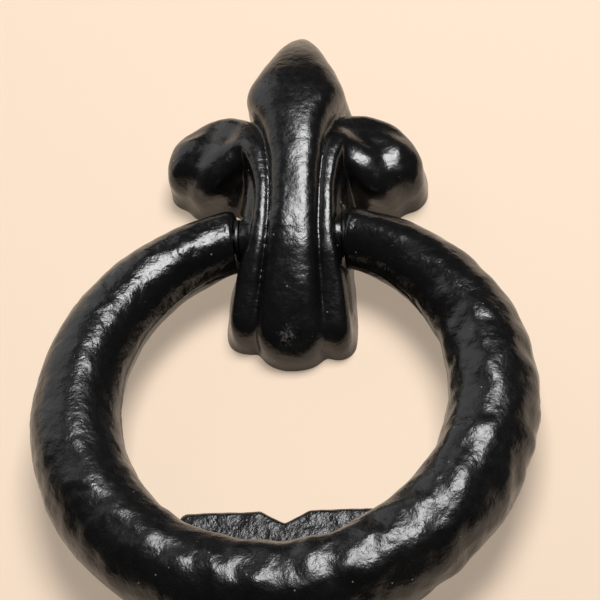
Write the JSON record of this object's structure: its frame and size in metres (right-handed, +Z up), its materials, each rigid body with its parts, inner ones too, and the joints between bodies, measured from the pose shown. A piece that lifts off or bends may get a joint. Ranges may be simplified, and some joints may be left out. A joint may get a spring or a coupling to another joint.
{
  "type": "door knocker",
  "caption": "Fleur-de-lys ring door knocker: a thick hammered ring hangs from a curled petal head on a pin and strikes a notched plate.",
  "frame": {"origin": "back face of the head, at the height of the ring's hinge axis, midway between its two cheeks", "axes": "+X to the right seen from the front, +Y into the door, +Z up"},
  "size_m": [0.1226, 0.088, 0.1952],
  "materials": {
    "black_painted_iron": "satin black paint on a smooth casting",
    "black_hammered_iron": "satin black paint on a hammered casting",
    "black_steel": "black oxide",
    "zinc_plated_steel": "bright zinc plate"
  },
  "bodies": {
    "door_side": {"fleur_head": "black_painted_iron", "striker_plate": "black_painted_iron", "hinge_washer_left": "black_steel", "hinge_washer_right": "black_steel", "hinge_pin": "black_steel", "pin_grub_screw": "black_steel", "head_stud_upper": "zinc_plated_steel", "head_stud_lower": "zinc_plated_steel", "head_washer_upper": "zinc_plated_steel", "head_washer_lower": "zinc_plated_steel", "head_dome_nut_upper": "zinc_plated_steel", "head_dome_nut_lower": "zinc_plated_steel", "striker_stud": "zinc_plated_steel", "striker_washer": "zinc_plated_steel", "striker_dome_nut": "zinc_plated_steel"},
    "ring": {"knocker_ring": "black_hammered_iron"}
  },
  "joints": [
    {"name": "ring_swing", "type": "hinge", "parent": "door_side", "child": "ring", "pos_m": [0, -0.013, 0], "axis": [-1, 0, 0], "range_deg": [0, 150]}
  ]
}
